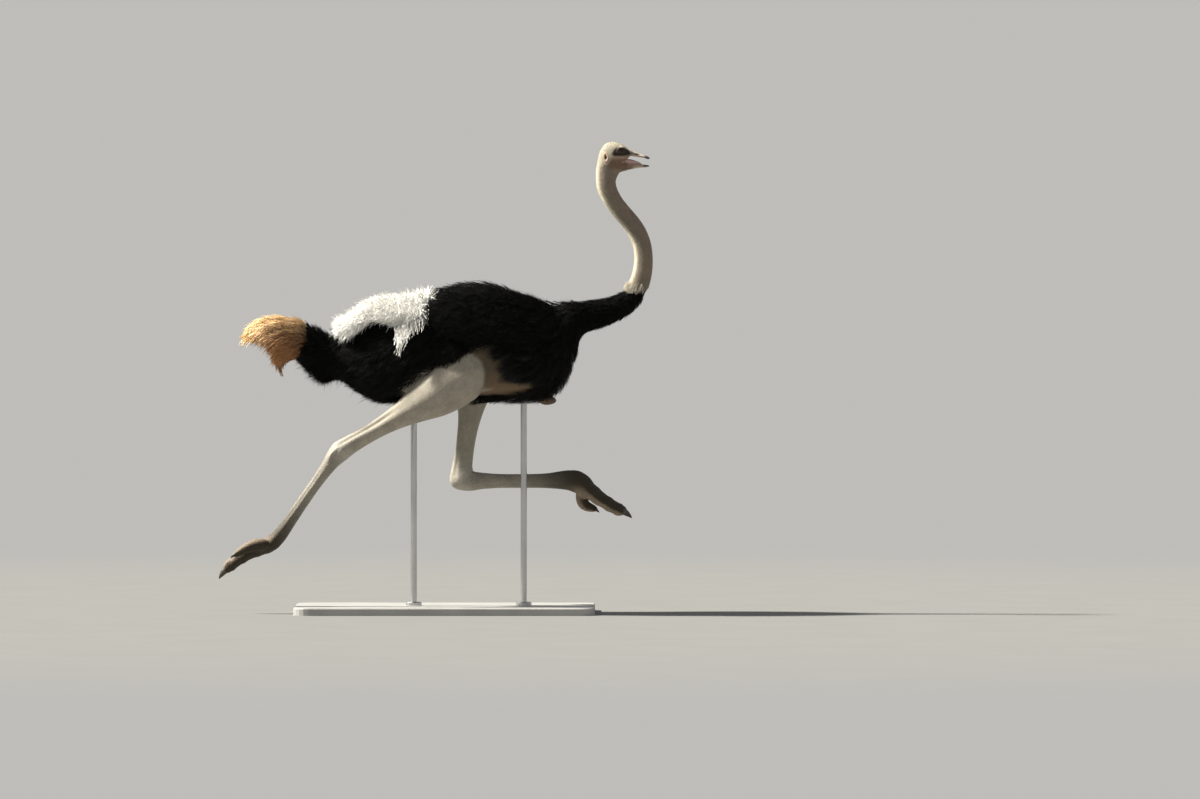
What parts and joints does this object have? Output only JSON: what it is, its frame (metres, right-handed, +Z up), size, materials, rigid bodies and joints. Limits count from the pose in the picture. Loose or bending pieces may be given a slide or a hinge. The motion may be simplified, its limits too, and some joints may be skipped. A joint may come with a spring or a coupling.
{
  "type": "ostrich",
  "caption": "Life-size still model of a running male ostrich, mouth open and both feet off the ground, held by rods on a flat display base.",
  "frame": {"origin": "centre of the underside of the stand's base plate", "axes": "+X the way the bird runs, +Y to the bird's left, +Z up"},
  "size_m": [1.737, 0.62, 1.884],
  "materials": {
    "black_plumage": "soft black feathers",
    "white_plumage": "soft white plumes",
    "buff_plumage": "soft buff tail plumes",
    "neck_skin": "skin with sparse pale down",
    "head_skin": "skin with short pale down",
    "leg_skin": "bare grey-pink skin with scales",
    "foot_skin": "rough dark skin of the feet and breast pad",
    "bill_horn": "satin horn",
    "claw_horn": "dark worn horn",
    "eye": "wet and glossy",
    "mouth": "moist",
    "base_paint": "matt paint",
    "rod_steel": "brushed"
  },
  "bodies": {
    "root": {"trunk": "black_plumage", "tail_coverts": "black_plumage", "neck_base": "black_plumage", "neck_lower": "neck_skin", "neck_middle": "neck_skin", "neck_upper": "neck_skin", "head": "head_skin", "jaw": "head_skin", "bill_upper": "bill_horn", "bill_lower": "bill_horn", "tongue": "mouth", "eye_right": "eye", "eye_left": "eye", "wing_right": "black_plumage", "wing_left": "black_plumage", "wing_plumes_right": "white_plumage", "wing_plumes_left": "white_plumage", "tail_plumes": "buff_plumage", "tail_lock": "buff_plumage", "thigh_right": "leg_skin", "thigh_left": "leg_skin", "drumstick_right": "leg_skin", "drumstick_left": "leg_skin", "tarsus_right": "leg_skin", "tarsus_left": "leg_skin", "big_toe_right": "foot_skin", "big_toe_left": "foot_skin", "small_toe_right": "foot_skin", "small_toe_left": "foot_skin", "big_claw_right": "claw_horn", "big_claw_left": "claw_horn", "small_claw_right": "claw_horn", "small_claw_left": "claw_horn", "breast_pad": "foot_skin", "stand_base": "base_paint", "stand_rod_front": "rod_steel", "stand_rod_rear": "rod_steel"}
  },
  "joints": []
}
